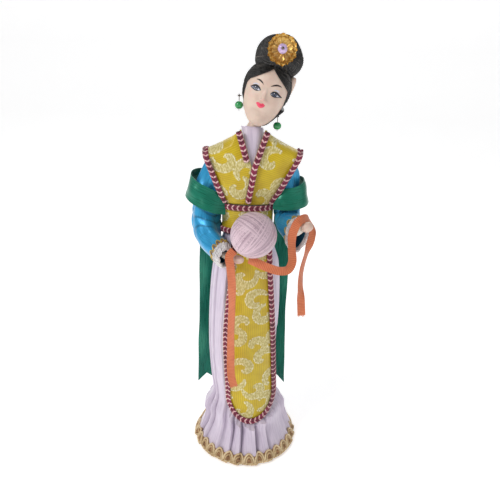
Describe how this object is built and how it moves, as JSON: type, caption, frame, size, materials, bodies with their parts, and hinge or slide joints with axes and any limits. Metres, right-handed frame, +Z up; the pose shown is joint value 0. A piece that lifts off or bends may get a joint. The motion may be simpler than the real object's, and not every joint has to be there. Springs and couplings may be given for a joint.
{
  "type": "silk doll figurine",
  "caption": "Standing court-lady doll in silk clothes on a round base, holding a thread-wound ball tied with ribbon, with a shawl ribbon and a bun with a rosette.",
  "frame": {"origin": "centre of the base's flat underside, on the surface that the doll stands on", "axes": "+Z up, the doll faces -Y, its left hand is on +X"},
  "size_m": [0.0877, 0.0901, 0.3002],
  "materials": {
    "felt": "matte wool felt",
    "board": "plain sawn board and dowel",
    "wadding": "undyed cotton wadding in a cloth wrap",
    "white_satin": "white satin with a lavender shade",
    "gimp": "gold gimp, scalloped",
    "brocade": "yellow silk brocade with a pale scroll pattern",
    "braid": "herringbone braid in burgundy and cream",
    "blue_satin": "bright blue satin",
    "lace": "white and gold lace",
    "skin": "moulded composition with a matt painted skin",
    "green_satin": "deep green satin ribbon",
    "orange_ribbon": "orange grosgrain ribbon",
    "pink_silk": "pale pink silk thread, wound",
    "hair": "black silk floss, lacquered",
    "gold_foil": "metallised gold foil, pleated",
    "lilac_bead": "pale lilac bead",
    "green_bead": "opaque green glass bead",
    "wire": "thin dull wire"
  },
  "bodies": {
    "figure": {"base_felt": "felt", "base_board": "board", "body_post": "board", "skirt_core": "wadding", "torso_core": "wadding", "skirt": "white_satin", "hem_gimp": "gimp", "apron": "brocade", "apron_braid": "braid", "vest_front_left": "brocade", "vest_front_right": "brocade", "vest_back": "brocade", "lapel_braid_left": "braid", "lapel_braid_right": "braid", "armhole_braid_left": "braid", "armhole_braid_right": "braid", "waistband": "brocade", "waist_braid_lower": "braid", "waist_braid_upper": "braid", "inner_collar": "white_satin", "sleeve_right": "blue_satin", "cuff_lace_right": "lace", "arm_right": "wadding", "hand_right": "skin", "sleeve_left": "blue_satin", "cuff_lace_left": "lace", "arm_left": "wadding", "hand_left": "skin", "ball_core": "wadding", "ball_winding": "pink_silk", "ribbon_tail_right": "orange_ribbon", "ribbon_swag": "orange_ribbon", "ribbon_tail_left": "orange_ribbon", "ribbon_wrap_left": "orange_ribbon", "shawl_loop_right": "green_satin", "shawl_loop_left": "green_satin", "shawl_back": "green_satin", "neck_peg": "wire"},
    "head": {"head_form": "skin", "neck": "skin", "hair_cap": "hair", "hair_wing_left": "hair", "hair_wing_right": "hair", "hair_bun": "hair", "rosette_back": "gold_foil", "rosette_front": "gold_foil", "ornament_bead": "lilac_bead", "ornament_pin": "wire", "earring_pin_right": "wire", "earring_pin_left": "wire"},
    "earring_right": {"earring_wire_right": "wire", "earring_bead_right": "green_bead"},
    "earring_left": {"earring_wire_left": "wire", "earring_bead_left": "green_bead"},
    "shawl_end_right": {"shawl_tail_right": "green_satin"},
    "shawl_end_left": {"shawl_tail_left": "green_satin"}
  },
  "joints": [
    {"name": "head_turn", "type": "hinge", "parent": "figure", "child": "head", "pos_m": [-0.0014, 0, 0.238], "axis": [0.3007, 0, 0.9537], "range_deg": [-25, 25]},
    {"name": "earring_right_swing", "type": "hinge", "parent": "head", "child": "earring_right", "pos_m": [-0.01, -0.0006, 0.263], "axis": [1, 0, 0], "range_deg": [-50, 50]},
    {"name": "earring_left_swing", "type": "hinge", "parent": "head", "child": "earring_left", "pos_m": [0.0156, -0.0016, 0.2506], "axis": [1, 0, 0], "range_deg": [-50, 50]},
    {"name": "shawl_end_right_swing", "type": "hinge", "parent": "figure", "child": "shawl_end_right", "pos_m": [-0.0304, 0.0126, 0.191], "axis": [0.9285, 0.3714, 0], "range_deg": [0, 35]},
    {"name": "shawl_end_left_swing", "type": "hinge", "parent": "figure", "child": "shawl_end_left", "pos_m": [0.0244, 0.0126, 0.188], "axis": [0.9285, -0.3714, 0], "range_deg": [0, 35]}
  ]
}
